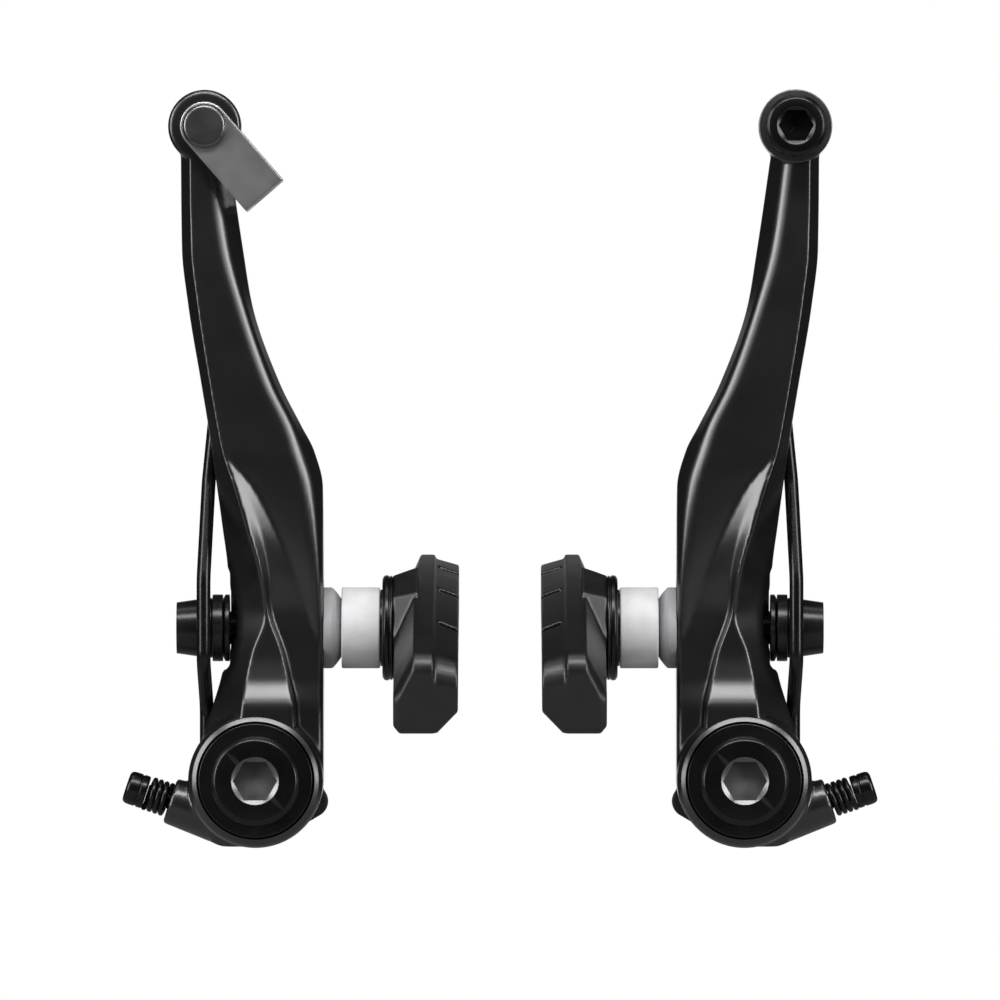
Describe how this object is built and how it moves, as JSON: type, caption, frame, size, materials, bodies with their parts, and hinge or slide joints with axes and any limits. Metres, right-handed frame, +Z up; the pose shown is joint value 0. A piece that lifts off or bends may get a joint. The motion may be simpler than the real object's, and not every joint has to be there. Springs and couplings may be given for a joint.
{
  "type": "bicycle_rim_brake",
  "caption": "Black direct-pull bicycle rim brake: a pair of forged arms with return springs, adjusters, grooved pads and hexagon-socket mounting bolts.",
  "frame": {"origin": "midway between the two boss axes, on the seat plane of the bosses", "axes": "+X to the viewer's right, +Y to the rear along the boss studs, +Z up along the arms"},
  "size_m": [0.1242, 0.0704, 0.124],
  "materials": {
    "black_arm": "gloss",
    "black_bolt": "gloss",
    "black_wire": "gloss",
    "dark_steel": "satin",
    "dark_plastic": "matte",
    "pad_compound": "matte",
    "grey_washer": "satin",
    "satin_silver": "satin"
  },
  "bodies": {
    "hub": {"left_pivot_sleeve": "dark_steel", "left_spring_stopper": "dark_plastic", "left_mounting_bolt": "black_bolt", "left_bolt_washer": "black_bolt", "right_pivot_sleeve": "dark_steel", "right_spring_stopper": "dark_plastic", "right_mounting_bolt": "black_bolt", "right_bolt_washer": "black_bolt"},
    "left_arm_body": {"left_arm": "black_arm", "left_return_spring": "black_wire", "left_adjuster_spring": "black_wire", "link_pin": "dark_steel"},
    "left_carriage": {"left_inner_convex_washer": "grey_washer", "left_outer_convex_washer": "black_bolt"},
    "left_seats": {"left_inner_thick_washer": "satin_silver", "left_outer_concave_washer": "black_bolt"},
    "left_pad": {"left_pad_post": "black_bolt", "left_brake_pad": "pad_compound", "left_pad_nut": "black_bolt"},
    "left_adjuster": {"left_adjuster_screw": "black_bolt"},
    "right_arm_body": {"right_arm": "black_arm", "right_return_spring": "black_wire", "right_adjuster_spring": "black_wire", "anchor_bolt": "black_bolt", "anchor_washer": "dark_steel"},
    "right_carriage": {"right_inner_convex_washer": "grey_washer", "right_outer_convex_washer": "black_bolt"},
    "right_seats": {"right_inner_thick_washer": "satin_silver", "right_outer_concave_washer": "black_bolt"},
    "right_pad": {"right_pad_post": "black_bolt", "right_brake_pad": "pad_compound", "right_pad_nut": "black_bolt"},
    "right_adjuster": {"right_adjuster_screw": "black_bolt"},
    "link_body": {"link": "satin_silver"}
  },
  "joints": [
    {"name": "left_pivot", "type": "hinge", "parent": "hub", "child": "left_arm_body", "pos_m": [-0.04, -0.0115, 0], "axis": [0, 1, 0], "range_deg": [-25, 5], "stiffness_Nm_per_rad": 0.5, "deforming": ["left_return_spring"]},
    {"name": "left_height", "type": "slide", "parent": "left_arm_body", "child": "left_carriage", "axis": [0, 0, 1], "range_m": [-0.001, 0.004]},
    {"name": "left_toe", "type": "hinge", "parent": "left_carriage", "child": "left_seats", "pos_m": [-0.034, -0.007, 0.0249], "axis": [0, 0, 1], "range_deg": [-3, 3]},
    {"name": "left_swivel", "type": "hinge", "parent": "left_seats", "child": "left_pad", "pos_m": [-0.034, -0.007, 0.0249], "axis": [1, 0, 0], "range_deg": [-20, 20]},
    {"name": "left_adjust", "type": "slide", "parent": "left_arm_body", "child": "left_adjuster", "axis": [-0.9489, 0, 0.3156], "range_m": [-0.001, 0.0025], "deforming": ["left_adjuster_spring"]},
    {"name": "right_pivot", "type": "hinge", "parent": "hub", "child": "right_arm_body", "pos_m": [0.04, -0.0115, 0], "axis": [0, -1, 0], "range_deg": [-25, 5], "stiffness_Nm_per_rad": 0.5, "deforming": ["right_return_spring"]},
    {"name": "right_height", "type": "slide", "parent": "right_arm_body", "child": "right_carriage", "axis": [0, 0, 1], "range_m": [-0.001, 0.004]},
    {"name": "right_toe", "type": "hinge", "parent": "right_carriage", "child": "right_seats", "pos_m": [0.034, -0.007, 0.0249], "axis": [0, 0, 1], "range_deg": [-3, 3]},
    {"name": "right_swivel", "type": "hinge", "parent": "right_seats", "child": "right_pad", "pos_m": [0.034, -0.007, 0.0249], "axis": [1, 0, 0], "range_deg": [-20, 20]},
    {"name": "right_adjust", "type": "slide", "parent": "right_arm_body", "child": "right_adjuster", "axis": [0.9489, 0, 0.3156], "range_m": [-0.001, 0.0025], "deforming": ["right_adjuster_spring"]},
    {"name": "link_hinge", "type": "hinge", "parent": "left_arm_body", "child": "link_body", "pos_m": [-0.0483, -0.015, 0.107], "axis": [0, -1, 0], "range_deg": [0, 120]}
  ]
}
